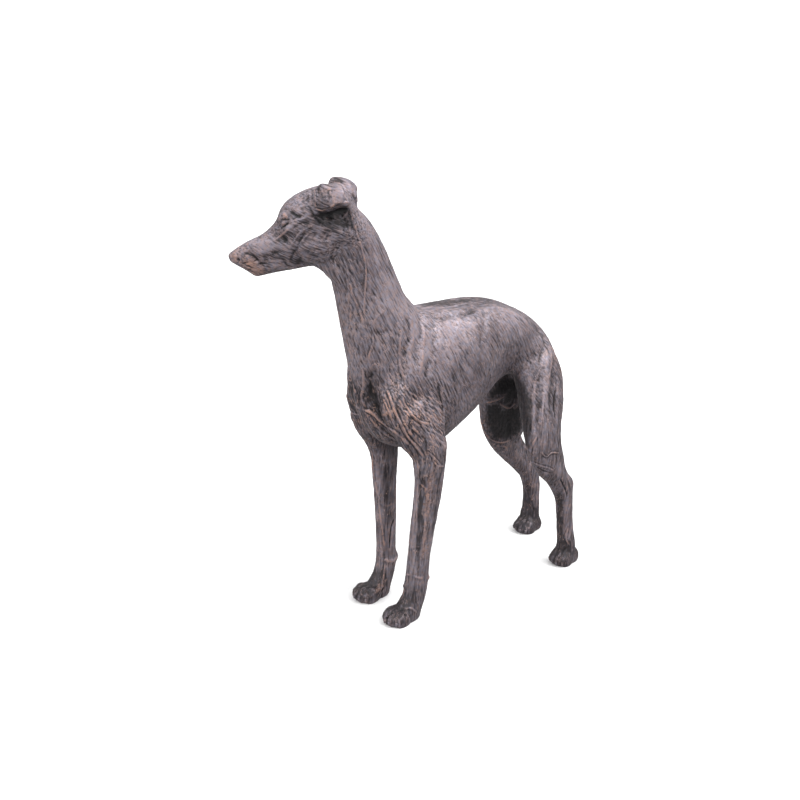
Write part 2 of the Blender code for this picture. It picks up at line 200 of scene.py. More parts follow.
class Cast:
    """The statue's fine skin while it is worked: points, outward ways, relief, rubbed metal, painted shade in
    its hollows and tone with painted light and shade.
    """

    def __init__(self, node):
        points = read(node.data.vertices, "co", len(node.data.vertices)) / MM
        node.data.calc_loop_triangles()
        corners = [tuple(t.vertices) for t in node.data.loop_triangles]
        self.tree = BVHTree.FromPolygons([tuple(p) for p in points], corners)
        mesh = bpy.data.meshes.new("greyhound_cast")
        mesh.from_pydata([tuple(p * MM) for p in points], [], corners)
        self.object = bpy.data.objects.new("greyhound_cast", mesh)
        bpy.context.scene.collection.objects.link(self.object)
        grid = self.object.modifiers.new("grid", "REMESH")
        grid.mode = "VOXEL"
        grid.voxel_size = CLAY_GRID * MM
        smooth = self.object.modifiers.new("smooth", "SMOOTH")
        smooth.factor = 0.5
        smooth.iterations = SMOOTHING_PASSES
        bake_modifiers(self.object)
        self.take()
        self.copper = np.zeros(self.count)
        # Painted shade in hollows, creases and shaded places, and tone that carries painted light and shade.
        self.dirt = np.zeros(self.count)
        self.tone = np.zeros(self.count)

    def take(self):
        mesh = self.object.data
        self.count = len(mesh.vertices)
        self.points = read(mesh.vertices, "co", self.count) / MM
        self.outward = read(mesh.vertices, "normal", self.count)
        edges = np.empty(len(mesh.edges) * 2, np.int32)
        mesh.edges.foreach_get("vertices", edges)
        self.edges = edges.reshape(-1, 2)
        self.degree = np.maximum(np.bincount(self.edges.ravel(), minlength=self.count), 1)
        self.lift = np.zeros(self.count)
        keys = np.floor(self.points / CELL).astype(int)
        self.base = keys.min(axis=0) - 2
        self.span = keys.max(axis=0) - self.base + 3
        flat = self.flat(keys)
        self.order = np.argsort(flat, kind="stable")
        found, first = np.unique(flat[self.order], return_index=True)
        last = np.append(first[1:], self.count)
        self.cells = {k: (a, b) for k, a, b in zip(found.tolist(), first.tolist(), last.tolist())}

    def flat(self, keys):
        k = keys - self.base
        return (k[:, 0] * self.span[1] + k[:, 1]) * self.span[2] + k[:, 2]

    def near(self, line, reach):
        """Indices of the points in the cells round a line."""
        steps = int(math.ceil(reach / CELL))
        reaches = np.linspace(-reach, reach, 2 * steps + 1)
        offsets = np.array([(x, y, z) for x in reaches for y in reaches for z in reaches])
        keys = np.floor((line[:, None] + offsets).reshape(-1, 3) / CELL).astype(int)
        keys = np.clip(keys, self.base, self.base + self.span - 1)
        parts = [self.order[slice(*self.cells[k])] for k in set(self.flat(keys).tolist()) if k in self.cells]
        return np.concatenate(parts) if parts else np.empty(0, int)

    def snap(self, line):
        """The line laid on the skin, with the skin's outward way at each point."""
        spots, ways = [], []
        for p in line:
            spot, way, _, _ = self.tree.find_nearest(Vector(p))
            spots.append(spot)
            ways.append(way)
        return np.array(spots, float), np.array(ways, float)

    def mark(self, line, width, height=0.0, copper=0.0, dirt=0.0, tone=0.0, flank=0.0, taper=0.5):
        """A ridge along a line, or a groove where the height is negative, with its metal, its painted shade
        and its tone, which carries painted light and shade.

        flank sinks a trench on both sides of a ridge, as a share of its height."""
        line = np.asarray(line, float)
        if len(line) < 2:
            return
        width = max(width, THINNEST)
        spots, ways = self.snap(line)
        near = self.near(spots, width * 3.0)
        if not len(near):
            return
        p = self.points[near]
        t, apart = beside(p, spots)
        gap = np.linalg.norm(apart, axis=2)
        k = gap.argmin(axis=1)
        row = np.arange(len(near))
        wander = lumps(p, 2.6, 41)
        gap = gap[row, k] * (0.75 + 0.5 * lumps(p, 5.0, 42)) + 0.5 * width * (wander - 0.5)
        place = (k + t[row, k]) / (len(spots) - 1)
        facing = ease((self.outward[near] * ways[k]).sum(axis=1), 0.0, 0.4)
        end = np.clip(np.minimum(place, 1 - place) * 2 / taper, 0, 1)
        strength = facing * np.sqrt(np.sin(0.5 * math.pi * np.maximum(end, 0.02)))
        strength *= 0.6 + 0.8 * lumps(p, 4.0, 43)
        core = np.exp(-((gap / width) ** 2)) * strength
        crest = np.exp(-((gap / (0.45 * width + 0.10)) ** 2)) * strength
        side = np.exp(-(((gap - 1.9 * width) / (0.8 * width)) ** 2)) * strength
        self.lift[near] += height * (core - flank * side)
        self.copper[near] = np.maximum(self.copper[near], copper * crest)
        # Painted shade along the mark and in the trenches beside a ridge; the tone adds painted light and
        # shade.
        self.dirt[near] = np.maximum(self.dirt[near], 0.8 * dirt * crest)
        self.dirt[near] = np.maximum(self.dirt[near], 0.15 * flank * side)
        self.tone[near] += tone * core

    def spot(self, place, radius, height=0.0, copper=0.0, dirt=0.0, tone=0.0):
        """A round bump, or a hollow where the height is negative."""
        spots, ways = self.snap([place])
        near = self.near(spots, radius * 2.6)
        if not len(near):
            return
        gap = np.linalg.norm(self.points[near] - spots[0], axis=1)
        facing = ease((self.outward[near] * ways[0]).sum(axis=1), -0.2, 0.3)
        core = np.exp(-((gap / radius) ** 2)) * facing
        self.lift[near] += height * core
        self.copper[near] = np.maximum(self.copper[near], copper * core)
        # Painted shade, and tone with painted light and shade.
        self.dirt[near] = np.maximum(self.dirt[near], dirt * core)
        self.tone[near] += tone * core

    def average(self, values, passes):
        """Values evened out over their neighbours."""
        a, b = self.edges[:, 0], self.edges[:, 1]
        values = values.reshape(self.count, -1).copy()
        for _ in range(passes):
            for c in range(values.shape[1]):
                total = np.bincount(a, values[b, c], self.count) + np.bincount(b, values[a, c], self.count)
                values[:, c] = 0.5 * values[:, c] + 0.5 * total / self.degree
        return values

    def press(self):
        """Moves the points by the relief gathered so far and keeps the soles flat."""
        moved = self.points + self.outward * self.lift[:, None]
        sole = (self.points[:, 2] < SOLE_HEIGHT) & (self.outward[:, 2] < SOLE_FACING)
        moved[sole, 2] = 0.0
        moved[:, 2] = np.maximum(moved[:, 2], 0.0)
        self.points = moved
        self.object.data.vertices.foreach_set("co", (moved * MM).astype(np.float32).ravel())
        self.object.data.update()
        self.lift = np.zeros(self.count)


cast = Cast(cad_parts["greyhound"])


def sight(x, y):
    """The place on the skin that shows at a point of the photo."""
    way = LOOK * FOCAL_POINTS + LOOK_RIGHT * (x - PHOTO_SIDE / 2) + LOOK_UP * (PHOTO_SIDE / 2 - y)
    spot, _, _, _ = cast.tree.ray_cast(Vector(CAMERA_SPOT), Vector(unit(way)))
    return None if spot is None else np.array(spot)


def seen(places, step=2.5):
    """A line on the skin through places of the photo."""
    spots = [sight(x, y) for x, y in curve(places, step)]
    spots = [s for s in spots if s is not None]
    kept = spots[:1]
    for s in spots[1:]:
        if np.linalg.norm(s - kept[-1]) < LONGEST_JUMP:
            kept.append(s)
    return np.array(kept)


# How far further back each right leg stands than the left one, by height, in the sculptor's frame.
HIND_SHIFT = ([6, 14, 26, 40, 52, 62, 72, 84, 96, 109, 126, 146],
              [22, 24, 26.5, 27, 25, 21, 17, 14, 11.7, 11.5, 10.5, 4])
FORE_SHIFT = ([7, 13, 20, 31, 45, 65, 86, 99, 120], [8, 7.5, 8.2, 8.3, 7.5, 5.6, 3, 2.5, 0])


def across(line):
    """The same line on the other side of the body."""
    if not len(line):
        return line
    p = to_sculpt(line)
    z = p[:, 2]
    hind = np.interp(z, *HIND_SHIFT) * ease(p[:, 1], 10, 25) * (z < 150)
    fore = np.interp(z, *FORE_SHIFT) * (p[:, 1] < -20) * (z < 120)
    p[:, 0] = -p[:, 0]
    p[:, 1] += hind + fore
    return from_sculpt(p)


def far_face(line):
    """The same line on the other side of the head."""
    if not len(line):
        return line
    p = to_head(line)
    p[:, 1] = -p[:, 1]
    return from_head(p)


# Share of its drawn width and height that a stroke keeps on the cast, and of that height on the hidden side.
FINENESS = 0.72
FAR_SHARE = 0.6


def draw(places, width, height=0.0, other=across, **kinds):
    """A stroke laid through places of the photo, and its twin on the hidden side."""
    line = seen(places)
    cast.mark(line, FINENESS * width, FINENESS * height, **kinds)
    if other is not None:
        cast.mark(other(line), FINENESS * width, FAR_SHARE * FINENESS * height, **kinds)


def touch(place, radius, height=0.0, other=across, **kinds):
    """A bump or hollow at a place of the photo, and its twin on the hidden side."""
    spot = sight(*place)
    if spot is None:
        return
    cast.spot(spot, radius, height, **kinds)
    if other is not None:
        cast.spot(other(spot[None])[0], radius, height, **kinds)


# The same two tools on the seen side only, and on both sides of the head.
once, dab = partial(draw, other=None), partial(touch, other=None)
trace, dot = partial(draw, other=far_face), partial(touch, other=far_face)


def tone_and_light_touches(marks, other=across):
    """Touches of tone alone, mostly painted light and shade: place in the photo, radius and tone."""
    for x, y, radius, tone in marks:
        touch((x, y), radius, tone=tone, other=other)


def fill(outline, radius, gap, **kinds):
    """Even touches over the part of the skin that shows inside an outline in the photo."""
    corners = np.array(outline, float)
    after = np.roll(corners, -1, axis=0)
    low, high = corners.min(axis=0), corners.max(axis=0)
    for x in np.arange(low[0], high[0], gap):
        for y in np.arange(low[1], high[1], gap):
            above = (corners[:, 1] > y) != (after[:, 1] > y)
            rise = np.where(above, after[:, 1] - corners[:, 1], 1.0)
            cut = corners[:, 0] + (y - corners[:, 1]) * (after[:, 0] - corners[:, 0]) / rise
            if (above & (x < cut)).sum() % 2:
                dab((x, y), radius, **kinds)


def face():
    """Eye, brow, cheek, muzzle, lips and nose."""
    # Painted light on the muzzle, forehead, lower lip and ear, and painted shade below the eye, under the ear
    # and on the cheek.
    tone_and_light_touches([(263, 244, 5.0, 1.2), (251, 243, 3.5, 0.8), (275, 265, 2.4, 1.2), (283, 267, 1.8, 0.8),
          (297, 203, 4.5, 0.35), (283, 239, 3.0, -0.6), (330, 222, 5.5, -0.7), (318, 222, 4.0, -0.6),
          (345, 224, 4.0, -0.5), (270, 256, 3.0, -0.3), (341, 194, 5.0, 1.6), (345, 187, 4.0, 1.4),
          (337, 200, 2.5, 0.8), (322, 198, 5.0, -0.5), (299, 262, 3.5, -0.5), (316, 252, 5.0, -0.25),
          (346, 246, 4.0, -0.3), (287, 222, 3.0, -0.3), (282, 210, 2.5, 0.2), (300, 226, 4.0, -0.25)],
          far_face)
    trace([(246, 246), (258, 243), (270, 243)], 4.2, 0.7)
    trace([(262, 257), (272, 254), (281, 251)], 2.6, -0.9, dirt=0.5)
    trace([(290, 211), (295, 215), (301.5, 217)], 1.5, -0.8, dirt=0.35, tone=-0.4)
    trace([(286, 206), (293, 208), (301, 212)], 2.2, 0.6, tone=0.3)
    for place, radius, height in (
        ((284.4, 214.6), 1.0, 0.5), ((286.2, 216.4), 0.9, 0.6), ((283.8, 217.6), 0.8, 0.4),
        ((286.8, 218.4), 0.7, 0.4), ((282.6, 224.6), 0.8, 0.4), ((284.6, 224.0), 0.7, 0.3),
    ):
        dot(place, radius, height, copper=0.85, tone=0.5)
    trace([(280.5, 228.5), (284.5, 225.5), (289, 222.5)], 1.1, -0.9, dirt=0.7)
    dot((283.2, 222.5), 1.1, 0.4, copper=0.5, tone=0.4)
    trace([(281, 219.5), (285, 219), (290, 219.5)], 0.6, -0.4, dirt=0.7)
    trace([(291, 221), (300, 219.5), (307, 217)], 0.8, 0.6, tone=0.5, copper=0.15)
    trace([(275, 240), (283, 234), (290, 227.5)], 0.9, 0.9, copper=0.8, tone=0.4)
    dot((285, 240), 2.0, -0.9, dirt=0.7)
    trace([(291, 231), (296, 226), (302, 223), (310, 223.5)], 1.5, -0.7, dirt=0.2, tone=-0.3)
    trace([(289, 249), (294, 241), (299, 234), (305, 229), (312, 226)], 1.0, 0.7, tone=0.3)
    trace([(297, 247), (303, 239), (311, 232), (322, 229)], 0.7, 0.35, tone=0.2)
    trace([(290, 262), (292, 256), (296, 249), (300, 241), (304, 234)], 1.5, -0.8, dirt=0.35, tone=-0.3)
    trace([(262, 262), (268, 259.5), (275, 258.5), (281, 259.5), (287, 263)], 1.9, -0.7, dirt=0.15, tone=-0.5)
    # Painted shade under the bulge of the upper lip.
    trace([(252, 254), (260, 256), (270, 255.5), (278, 252)], 2.2, 0.0, tone=-0.8)
    trace([(296, 266), (299, 262), (301, 257)], 1.6, -0.4, dirt=0.5, tone=-0.4)
    dot((294.5, 267), 2.0, 1.0, tone=0.3)
    for _ in range(60):
        x, y = 303 + 42 * rng.random(), 232 + 26 * rng.random()
        reach = rng.uniform(4, 8)
        trace([(x, y), (x - 0.55 * reach, y + 0.8 * reach)], 0.6, rng.choice([-0.2, 0.18]),
              tone=rng.uniform(-0.4, 0.6), copper=0.2 * rng.random())
    trace([(284, 262), (288, 266), (296, 266)], 1.4, -0.5, dirt=0.6)
    trace([(266, 269.5), (276, 266.5), (285, 263.5)], 1.7, 0.6, copper=0.45, tone=0.6)
    trace([(240.5, 255), (248, 253.5), (255, 257.5), (261, 264), (266, 270)], 1.3, -0.6, dirt=0.25, tone=-0.3)
    trace([(240.5, 254.5), (241.8, 260), (242.5, 266)], 0.9, -0.5, dirt=0.4)
    dot((250, 265), 5.0, 0.7, copper=0.8, tone=0.2)
    dot((259, 270), 4.0, 0.4, copper=0.75)
    for _ in range(26):
        x = 243 + 20 * rng.random()
        y = 258 + 15 * rng.random() + 0.15 * (x - 243)
        way = rng.uniform(-3, 3)
        trace([(x, y), (x + 2.5, y + 0.3 * way), (x + 5, y + way)], 0.5, rng.choice([-0.45, 0.35]),
              dirt=0.5 * rng.random())
    dot((234, 257), 4.0, 0.25, copper=0.6, tone=0.9)
    for _ in range(24):
        dot((rng.uniform(229.5, 241), rng.uniform(249, 263)), rng.uniform(0.6, 1.1), rng.choice([-0.25, 0.2]),
            dirt=0.5 * rng.random(), tone=rng.uniform(-0.6, 0.6))
    dot((237.8, 259.5), 1.0, -1.5, dirt=1.0)
    trace([(236, 263), (238.5, 262), (240, 259)], 0.5, -0.5, dirt=0.9)
    trace([(229, 252), (234, 249), (240, 247)], 0.9, 0.2, copper=0.5, tone=0.4)
    trace([(302, 180), (307, 196), (310, 208)], 1.8, -0.2, tone=-0.2)
    trace([(291, 192), (298, 200), (305, 205)], 2.5, 0.35, copper=0.2, tone=0.4)


def ears():
    """Folded ears: the rolled front edge, the ragged lower edge and the dark hollow behind."""
    trace([(312.5, 188), (312, 198), (312.5, 207)], 1.0, -0.4, tone=-0.2)
    trace([(315.2, 189), (314.8, 196), (315.2, 203), (316, 208)], 0.7, 0.7, copper=0.9, tone=0.4)
    trace([(309.5, 207), (313, 214), (317, 219), (323, 223)], 1.4, -1.0, dirt=0.6)
    # The hollow under the folded ear is painted dark as shade.
    trace([(315, 214), (322, 216), (330, 215), (339, 212), (347, 211), (351, 215)], 3.4, -2.6, dirt=1.0)
    trace([(317, 221), (326, 224), (338, 223), (350, 224)], 2.6, -0.9, dirt=0.8, tone=-0.5)
    for place, radius in (
        ((322, 218), 2.6), ((329, 219), 2.6), ((337, 218), 2.6), ((345, 219), 2.4), ((341, 226), 2.4),
        ((349, 226), 2.0),
    ):
        dot(place, radius, dirt=0.7)
    trace([(315.5, 208.5), (319, 210), (323, 210.5), (327, 208.5), (333, 205.5), (336, 202.5), (342, 203),
          (349, 202)], 0.9, 1.2, copper=1.0, tone=0.8, taper=0.2)
    # The near ear's front half is painted darker and its back half lighter, as shade and light.
    trace([(321, 192), (327, 190.5), (332, 188.5)], 1.1, 0.3, copper=0.6, tone=0.3)
    trace([(320, 189), (319, 194), (322, 198)], 1.2, -0.3, dirt=0.15, tone=-0.3)
    trace([(331.5, 188), (330.5, 196), (329, 203)], 1.8, -0.4, dirt=0.12, tone=-0.3)
    trace([(334, 203), (335.5, 196), (338, 190)], 1.6, 0.8, copper=0.35, tone=0.7)
    trace([(340, 203), (343, 196), (344, 188)], 2.2, 0.5, tone=0.8, copper=0.15)
    # Painted shade over the hollow under the ear.
    fill(EAR_SHADE, 2.0, 2.2, dirt=0.72)
    for _ in range(26):
        x, y = rng.uniform(317, 350), rng.uniform(213, 225)
        trace([(x, y), (x + rng.uniform(-1, 2), y + rng.uniform(2, 4))], 0.6, rng.choice([-0.5, 0.4]),
              copper=0.4 * rng.random(), tone=rng.uniform(-0.5, 0.5))
    for _ in range(30):
        x, y = rng.uniform(316, 330), rng.uniform(188, 203)
        trace([(x, y), (x + rng.uniform(-0.5, 1.2), y + rng.uniform(3, 6))], 0.6, rng.choice([-0.3, 0.25]),
              copper=0.35 * rng.random(), tone=rng.uniform(-0.6, 0.3))
    dab((321.5, 187.5), 2.6, 2.2, dirt=0.25, tone=-0.4)
    dab((326, 187), 2.2, 1.0, dirt=0.15, tone=-0.3)
    dot((327, 219), 1.3, 0.8, copper=0.6)
    dot((345.5, 215), 1.2, 0.8, copper=0.7)
    once([(330, 178), (337, 180), (345, 186), (349, 194)], 1.2, -0.5, dirt=0.3)
    # Painted shade on the far ear's front half and painted light on its back half.
    tone_and_light_touches([(333, 180, 3.0, -0.8), (339, 179, 3.0, -0.8), (345, 183, 2.6, -0.6), (353, 189, 3.0, 0.9),
          (349, 183, 1.6, 0.5), (356, 197, 2.2, -0.5)], None)
    once([(346, 182), (353, 188), (356, 197)], 1.8, 0.5, tone=0.8, copper=0.2)
    once([(333, 181), (340, 183), (344, 190)], 1.0, 0.4, copper=0.5)


def neck():
    """The long tendon behind the jaw, throat cords and the folds over the shoulders."""
    # Painted light on the lit side of the neck and over the shoulder, painted shade on the throat and chest.
    tone_and_light_touches([(364, 218, 4, 0.6), (371, 234, 5, 0.7), (376, 252, 6, 0.6), (383, 272, 7, 0.6), (393, 294, 8, 0.7),
          (404, 306, 6, 0.5), (352, 262, 8, -0.15), (376, 345, 9, -0.2), (392, 345, 7, -0.25),
          (385, 370, 8, -0.2), (417, 330, 8, 0.8), (428, 350, 7, 0.7), (424, 372, 8, 0.4),
          (450, 335, 12, 0.5), (470, 325, 10, 0.4), (455, 350, 9, 0.3), (398, 390, 7, -0.3),
          (372, 400, 5, -0.6), (380, 425, 6, -0.3), (362, 430, 8, 0.1), (376, 440, 7, -0.3)])
    draw([(349.5, 206), (353.6, 223), (357.7, 235), (361, 246), (364, 258), (366, 272), (365, 290),
         (364, 316)], 0.8, 0.7, copper=0.75, tone=0.4, flank=0.1, taper=0.2)
    draw([(350, 284), (352, 293), (356.5, 304), (361, 315), (363, 324)], 0.7, 0.6, copper=0.7, flank=0.5,
         taper=0.2)
    draw([(351, 305), (350.5, 315), (350, 326), (348.5, 334)], 0.9, 0.5, copper=0.7, flank=0.4)
    draw([(348, 335), (350, 348), (350.6, 360)], 1.1, 0.4, copper=0.55, flank=0.3)
    draw([(341, 250), (345, 275), (346, 300)], 1.2, -0.4, dirt=0.25)
    draw([(343, 262), (349, 290), (347, 318)], 0.8, 0.35, copper=0.35)
    draw([(384, 310.5), (375.6, 319), (373.4, 325)], 0.8, 0.5, copper=0.6)
    draw([(372.3, 333), (373.4, 341), (369, 357), (371, 368)], 0.8, 0.5, copper=0.55, flank=0.4)
    # The folds over the shoulder are painted darker in their grooves and lighter on their ridges, as shade
    # and light.
    draw([(366, 322), (371, 330), (382, 332), (390, 330)], 2.6, -0.25, tone=-0.4)
    draw([(401.6, 328), (399.4, 350.7), (400.5, 368), (406, 382)], 1.3, 0.8, copper=0.6, tone=0.3, flank=0.25)
    draw([(408, 317), (409.7, 333), (405.5, 348), (404.5, 366)], 3.2, -0.9, tone=-0.5)
    draw([(411, 317), (413, 338), (409.5, 357), (412.4, 368)], 2.0, 0.9, copper=0.5, tone=0.6)
    draw([(419, 314), (420.6, 335.6), (416.8, 351), (417, 366)], 2.9, -0.9, tone=-0.5)
    draw([(424, 328), (423.3, 345), (422, 362), (419, 376)], 1.9, 0.8, copper=0.5, tone=0.5)
    draw([(431, 314), (434, 326), (432, 351), (426.5, 372), (424.4, 388)], 3.4, -0.9, tone=-0.6)
    draw([(440.6, 327), (449.3, 342), (455.8, 357), (459, 367)], 0.8, 0.6, copper=0.4, tone=0.5, flank=0.3)
    draw([(391, 316), (396, 330), (393, 348), (388, 362)], 2.2, -0.5, dirt=0.1)


def chest():
    """Breastbone, the hollow beside it, the pectoral folds and the upper arm's scratched muscles."""
    draw([(362.5, 366), (363.6, 386), (361.5, 398), (366, 408)], 1.4, 0.9, copper=0.6, tone=0.2, flank=0.3)
    draw([(350, 372), (356, 392), (361, 406)], 1.0, 0.4, copper=0.4)
    # The hollow beside the breastbone is painted dark as shade, here and in the fill below.
    draw([(374, 370), (370, 384), (371.5, 397), (377, 411), (381, 419)], 3.6, -2.6, dirt=0.9, tone=-0.4,
         taper=0.6)
    draw([(376, 392), (375, 403), (380, 415)], 1.4, -0.8, dirt=1.0)
    fill(CHEST_HOLLOW, 2.4, 2.3, dirt=0.5)
    draw([(362.5, 409.5), (371, 412.8), (379, 420), (390.7, 429), (399.4, 435.5), (409, 445)], 1.4, 1.1,
         copper=0.6, tone=0.6, flank=0.4, taper=0.3)
    draw([(371, 419), (377.7, 427), (388.6, 436), (400, 442)], 1.3, 0.8, copper=0.35, tone=0.5, flank=0.4)
    draw([(358, 411), (366, 424), (374, 436)], 1.0, -0.4, dirt=0.2)
    draw([(386, 388), (391, 400), (394, 409), (400.5, 423), (408, 437), (417, 448), (424, 458)], 1.0, 0.8,
         copper=0.9, tone=0.3, flank=0.6, taper=0.3)
    draw([(382, 396), (388, 410), (394, 424), (398, 432)], 0.8, 0.5, copper=0.6, flank=0.5)
    draw([(379, 416), (386, 414), (393, 411)], 2.0, 0.5, copper=0.6)
    draw([(404.8, 404), (411, 413), (417, 420), (431, 425)], 1.0, 0.6, copper=0.8, flank=0.5)
    draw([(398, 397), (397, 410), (402, 420)], 1.6, -0.6, dirt=0.4)
    draw([(406, 421), (414, 432), (424, 440)], 1.8, -0.6, dirt=0.4)
    draw([(437, 385), (442, 402), (444, 420), (443.5, 437)], 1.5, -0.9, dirt=0.3)
    draw([(428, 452), (435, 459), (441, 466)], 0.8, 0.6, copper=0.7, flank=0.5)
    draw([(446, 446), (449.5, 452), (448, 460)], 1.2, 0.5, copper=0.5)
    touch((444, 448), 3.4, 1.8, copper=0.3, tone=0.2)
    for _ in range(70):
        x = 402 + 38 * rng.random()
        y = 386 + 44 * rng.random() + 0.25 * (x - 402)
        reach = rng.uniform(5, 12)
        slope = rng.uniform(0.55, 1.15)
        bend = rng.uniform(-1, 1)
        draw([(x, y), (x + 0.5 * reach, y + 0.5 * reach * slope + bend), (x + reach, y + reach * slope)], 0.6,
             rng.choice([-0.4, 0.35, 0.45]), copper=rng.choice([0.0, 0.3, 0.6]), tone=rng.uniform(-0.2, 0.5))


def back():
    """Spine furrow, ribs, hip point and loin."""
    # Painted shade along the spine where the back turns away, painted light on the top of the back and
    # painted shade lower on the loin and flank.
    draw([(418, 306), (440, 303.5), (460, 301), (480, 299), (500, 301), (520, 308), (535, 318), (547, 331)],
         4.5, tone=-0.75)
    tone_and_light_touches([(483, 307, 5, 0.4), (512, 314, 5, 0.5), (448, 325, 8, 0.4), (505, 350, 8, -0.35),
          (520, 345, 6, -0.3), (492, 330, 6, -0.15), (510, 365, 8, -0.3), (450, 385, 9, -0.1)])
    draw([(430, 311.5), (440, 319.5), (449.5, 316.5), (462, 316.5), (470, 312), (481, 304), (488, 302)], 3.2,
         -1.0, dirt=0.1, tone=-0.5, taper=0.4)
    draw([(446, 309), (460, 306), (474, 304)], 1.8, -0.5, dirt=0.2)
    draw([(485, 308), (484, 326), (480, 346), (478, 368)], 3.2, -0.8, dirt=0.15)
    draw([(496, 306), (510, 312), (522, 318), (530, 328)], 2.4, 0.7, copper=0.25, tone=0.5)
    draw([(490, 304), (494, 316), (503, 330)], 2.0, -0.5)
    for k, x in enumerate((446, 455, 464, 473)):
        draw([(x, 334), (x + 5, 352), (x + 6, 372), (x + 2, 392)], 2.6, -0.3 if k % 2 else 0.3)


# Parts of the photo that lie in shade, by their outlines, where painted shade is laid.
CAVITY = [
    (501, 381), (509, 379), (515, 384), (518, 391), (518, 402), (518, 418), (518, 430), (512, 435),
    (504, 438), (496, 437), (492, 431), (488, 418), (487, 408), (490, 399), (495, 390),
]
CHEST_HOLLOW = [
    (368, 371), (374, 369), (378, 384), (379, 396), (382, 408), (381, 416), (374, 410), (367, 401),
    (365, 386),
]
THIGH_SHADE = [
    (514, 377), (519, 380), (524, 386), (528, 396), (530, 405), (530, 420), (529, 436), (526, 447),
    (523, 440), (521, 425), (518, 405), (517, 390),
]
EAR_SHADE = [
    (315, 217), (322, 213.5), (333, 212), (346, 206), (350.5, 215), (353, 223), (349, 228), (337, 227),
    (326, 223.5), (318, 223),
]


def hindquarters():
    """Rump, thigh muscles, the fold of the flank and the scratched hocks."""
    # Painted light and shade that model the rump, thigh and hock muscles, here and in the strokes below.
    tone_and_light_touches([(505, 318, 9, 0.5), (520, 330, 7, 0.35), (531, 352, 5, -0.3), (545, 360, 5, 0.4),
          (550, 385, 5, 0.3), (556, 400, 4, -0.3), (533, 400, 5, -0.35), (541, 420, 5, 0.25),
          (528, 420, 4, -0.3), (548, 455, 5, -0.2), (560, 470, 4, 0.2), (556, 500, 4, -0.35),
          (570, 500, 3, 0.3), (571, 530, 3, 0.2), (557, 530, 4, -0.25)])
    draw([(531, 325), (541, 334), (544.5, 345), (541, 360), (537, 378), (531.5, 392)], 3.2, -1.1, dirt=0.1,
         tone=-0.6)
    draw([(547, 352), (548, 366), (545, 380), (545, 395), (546, 410)], 3.0, 0.8, tone=0.5)
    draw([(553, 365), (552.5, 380), (550, 395), (550, 415)], 2.4, -0.8, tone=-0.45)
    draw([(557, 378), (558, 392), (557, 408), (556, 425)], 2.4, 0.6, tone=0.4)
    draw([(541, 385), (539, 400), (538, 420), (540, 440)], 2.6, -0.8, tone=-0.45)
    draw([(534, 395), (533, 412), (532, 430)], 2.2, 0.6, tone=0.35)
    draw([(545.5, 349), (541.4, 365), (536, 381), (533, 398)], 1.5, 0.7, tone=0.4, copper=0.3, flank=0.2)
    draw([(538, 334), (543.5, 344), (548, 356)], 1.6, 0.8, tone=0.5, copper=0.35)
    draw([(550, 345), (551.5, 360), (549, 376), (546, 392)], 1.8, 0.6, tone=0.3, copper=0.5, flank=0.2)
    draw([(556, 372), (556, 388), (554, 402), (555, 420)], 1.3, -0.7, dirt=0.4)
    draw([(543.7, 392), (543, 404), (542.5, 418)], 1.0, 0.5, tone=0.4, copper=0.3, flank=0.4)
    draw([(531, 398), (531.5, 416), (530, 434)], 1.6, -0.6, dirt=0.35)
    once([(503, 375.5), (511, 374.5), (520, 381.5), (526.5, 394.5), (530, 403)], 0.9, 0.7, copper=0.5,
         tone=0.5)
    once([(479.6, 408), (481.9, 424), (485.5, 433.5), (490.5, 439), (501, 442.5), (511, 440)], 1.0, 0.8,
         copper=0.9, tone=0.3, taper=0.3)
    once([(490, 442.5), (498, 446), (505.4, 447), (508.3, 457)], 0.6, 0.4, copper=0.7)
    # Painted shade in the dark space between the hind legs and on the shaded inner face of the left thigh.
    fill(CAVITY, 3.4, 3, dirt=1.0)
    fill(THIGH_SHADE, 2.6, 2.5, dirt=0.9)
    # Lit ridges across the shaded space: copper with painted light, and the painted shade lifted under them.
    for strip in ([(486.3, 402), (494.3, 400.5), (503.5, 396.5)], [(499, 403), (509, 407.5), (515, 403)]):
        line = seen(strip)
        cast.mark(line, 1.0, 1.2, copper=1.0, tone=0.6)
        cast.dirt[cast.near(line, 1.2)] *= 0.25
    dab((516, 449.6), 1.0, -1.0, dirt=1.0)
    dab((516, 442.4), 1.0, -0.8, dirt=1.0)
    draw([(525, 441), (527.4, 449), (530, 451)], 0.8, 0.5, copper=0.7)
    draw([(537, 436.5), (534, 442), (531, 448.5)], 0.7, 0.5, copper=0.8, flank=0.4)
    draw([(541.5, 452.5), (546.6, 457), (551.3, 453), (559, 453)], 0.8, 0.5, copper=0.6, flank=0.4)
    draw([(531, 461.5), (539, 465.5), (549.5, 468.5), (553.5, 470.5)], 0.9, 0.5, copper=0.4, flank=0.5)
    draw([(536, 467), (545, 471.5), (553, 473)], 1.3, -0.7, dirt=0.7)
    draw([(560.5, 479), (565, 488), (567.5, 497)], 1.2, -1.0, dirt=0.8)
    draw([(566, 475), (570, 484), (571, 496)], 1.0, 0.6, copper=0.3, tone=0.3)
    # Painted shade and light on the faces of the hind legs.
    draw([(559, 492), (559, 518), (558, 545)], 3.2, -0.3, tone=-0.7)
    draw([(567, 492), (566.5, 518), (567, 542)], 2.8, 0.3, tone=0.6)
    once([(528, 478), (528, 500), (527, 514)], 3.0, -0.2, tone=-0.6)
    once([(536, 476), (537, 495), (536, 512)], 2.2, 0.3, tone=0.4)
    once([(500, 452), (512, 462), (522, 474)], 3.0, 0.2, tone=0.4)
    draw([(568, 528), (566, 539), (569.5, 545.5)], 0.8, 0.5, copper=0.6, flank=0.4)
    draw([(562, 500), (562.5, 520), (560.5, 542)], 1.6, -0.6, dirt=0.4)
    once([(532, 500), (534, 512)], 0.9, -0.7, dirt=0.8)


